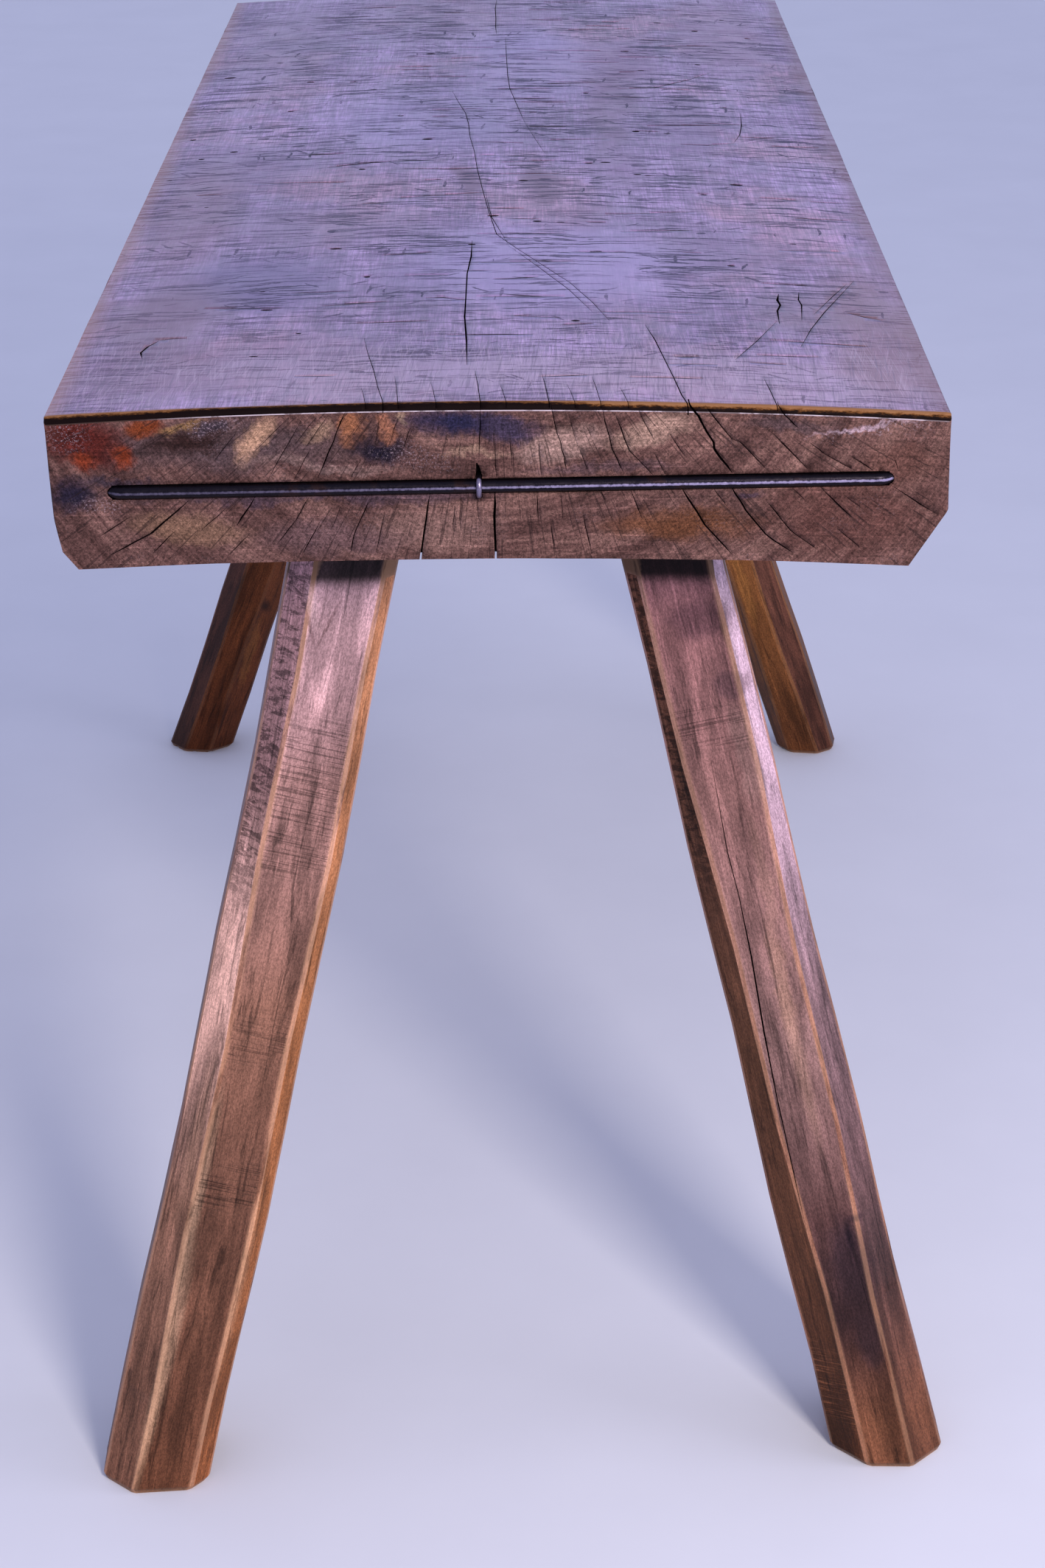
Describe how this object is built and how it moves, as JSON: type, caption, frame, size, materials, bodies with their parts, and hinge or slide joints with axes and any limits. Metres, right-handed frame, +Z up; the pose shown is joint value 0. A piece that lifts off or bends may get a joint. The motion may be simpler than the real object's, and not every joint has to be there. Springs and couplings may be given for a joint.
{
  "type": "butchers table",
  "caption": "Thick crowned hardwood slab worktop on splayed, hand-hewn octagonal legs, with stapled iron bars sunk across the end grain.",
  "frame": {"origin": "On the floor, in the middle of the floor space (bounding box) that the table takes up; the slab's plan centre lies 8 mm right of it.", "axes": "+Z up from the floor, Y along the slab with the pictured end at -Y, +X to the right as seen from that end."},
  "size_m": [0.709, 1.3636, 0.775],
  "materials": {
    "slab_wood": "old waxed hardwood, knife-scarred top, stained end grain",
    "leg_wood": "oiled, hewn with an axe, satin",
    "wedge_wood": "raw split hardwood",
    "forged_iron": "black forged iron, worn to a dull shine"
  },
  "bodies": {
    "root": {"slab_top": "slab_wood", "leg_front_left": "leg_wood", "leg_front_right": "leg_wood", "leg_back_left": "leg_wood", "leg_back_right": "leg_wood", "fox_wedge_front_left": "wedge_wood", "fox_wedge_front_right": "wedge_wood", "fox_wedge_back_left": "wedge_wood", "fox_wedge_back_right": "wedge_wood", "end_bar_front": "forged_iron", "end_bar_back": "forged_iron", "bar_staple_front": "forged_iron", "bar_staple_back": "forged_iron"}
  },
  "joints": []
}
